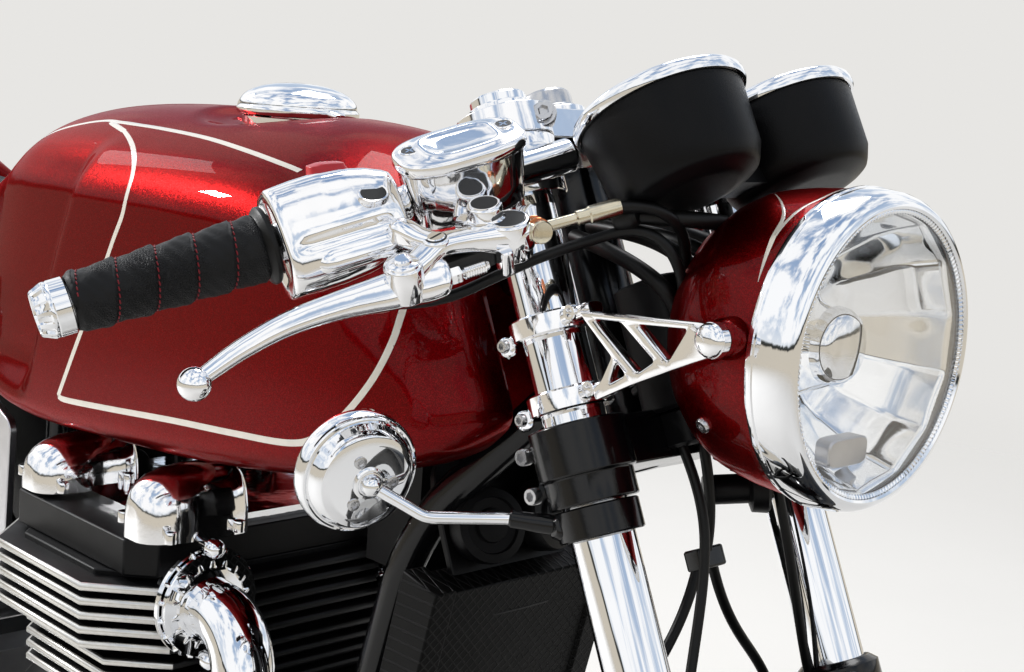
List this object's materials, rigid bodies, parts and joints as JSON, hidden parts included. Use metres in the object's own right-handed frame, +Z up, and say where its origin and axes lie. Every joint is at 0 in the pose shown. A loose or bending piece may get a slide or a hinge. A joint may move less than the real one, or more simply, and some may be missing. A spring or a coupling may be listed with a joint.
{
  "type": "cafe racer motorcycle",
  "caption": "Cafe racer motorcycle with clip-on bars, round headlamp, long knee-cut tank, seat hump, upright finned engine, twin shocks and a centre stand.",
  "frame": {"origin": "floor under the middle of the motorcycle's length, on its centre plane", "axes": "+X forward, +Y to the rider's left, +Z up"},
  "size_m": [2.082, 0.79, 0.9928],
  "materials": {
    "candy_red": "clear-coated candy red with fine flake",
    "frame_black": "gloss black powder coat",
    "engine_black": "satin black with bright fin edges",
    "bright_alloy": "mirror polished",
    "satin_alloy": "satin",
    "chrome": "polished chrome",
    "steel": "brushed",
    "black_plastic": "matte black",
    "grip_leather": "wrapped leather with red stitching",
    "seat_leather": "stitched leather",
    "tyre": "matte",
    "clear_glass": "clear lens",
    "reflector": "vacuum plated",
    "red_lens": "red lens",
    "radiator": "black fins",
    "chain_steel": "oiled",
    "hose": "black"
  },
  "bodies": {
    "chassis": {"frame": "frame_black", "crankcase": "engine_black", "engine_covers": "bright_alloy", "cylinders": "engine_black", "cam_covers": "bright_alloy", "radiator": "radiator", "exhaust_headers": "chrome", "silencers": "steel", "airbox": "black_plastic", "coil_pack": "black_plastic", "fuel_tank": "candy_red", "filler_base": "bright_alloy", "seat": "seat_leather", "tail_cowl": "candy_red", "side_covers": "satin_alloy", "tail_lamp": "red_lens", "plate_bracket": "frame_black", "swingarm": "satin_alloy", "rear_axle": "steel", "shocks": "steel", "chain": "chain_steel", "rear_caliper": "frame_black", "rearsets": "satin_alloy"},
    "steering": {"lower_yoke": "frame_black", "top_yoke": "bright_alloy", "steering_stem": "steel", "fork_tubes": "chrome", "fork_sliders": "frame_black", "front_axle": "steel", "front_calipers": "satin_alloy", "front_mudguard": "frame_black", "clip_ons": "chrome", "grips": "grip_leather", "switch_housings": "bright_alloy", "brake_master": "bright_alloy", "clutch_perch": "bright_alloy", "levers": "bright_alloy", "clocks": "black_plastic", "clock_bezels": "chrome", "headlamp_shell": "candy_red", "headlamp_rim": "chrome", "headlamp_lens": "clear_glass", "headlamp_reflector": "reflector", "lamp_brackets": "bright_alloy", "mirrors": "chrome", "brake_hoses": "hose"},
    "front_wheel": {"front_rim": "chrome", "front_tyre": "tyre", "front_discs": "steel"},
    "rear_wheel": {"rear_rim": "chrome", "rear_tyre": "tyre", "rear_disc": "steel", "sprocket": "steel"},
    "centre_stand": {"centre_stand": "frame_black"},
    "side_stand": {"side_stand": "frame_black"},
    "fuel_cap": {"fuel_cap": "bright_alloy"}
  },
  "joints": [
    {"name": "steering", "type": "hinge", "parent": "chassis", "child": "steering", "pos_m": [0.40126, 0, 0.915], "axis": [-0.4226, 0, 0.9063], "range_deg": [-30, 30]},
    {"name": "front_wheel_spin", "type": "hinge", "parent": "steering", "child": "front_wheel", "pos_m": [0.741, 0, 0.3], "axis": [0, 1, 0], "continuous": true},
    {"name": "rear_wheel_spin", "type": "hinge", "parent": "chassis", "child": "rear_wheel", "pos_m": [-0.674, 0, 0.318], "axis": [0, 1, 0], "continuous": true},
    {"name": "centre_stand_fold", "type": "hinge", "parent": "chassis", "child": "centre_stand", "pos_m": [-0.205, 0, 0.168], "axis": [0, 1, 0], "range_deg": [0, 80]},
    {"name": "side_stand_swing", "type": "hinge", "parent": "chassis", "child": "side_stand", "pos_m": [-0.02, 0.104, 0.14], "axis": [0, -0.8768, -0.4809], "range_deg": [0, 110]},
    {"name": "fuel_cap_hinge", "type": "hinge", "parent": "chassis", "child": "fuel_cap", "pos_m": [0.032, 0, 0.9315], "axis": [0, -1, 0], "range_deg": [0, 100]}
  ]
}
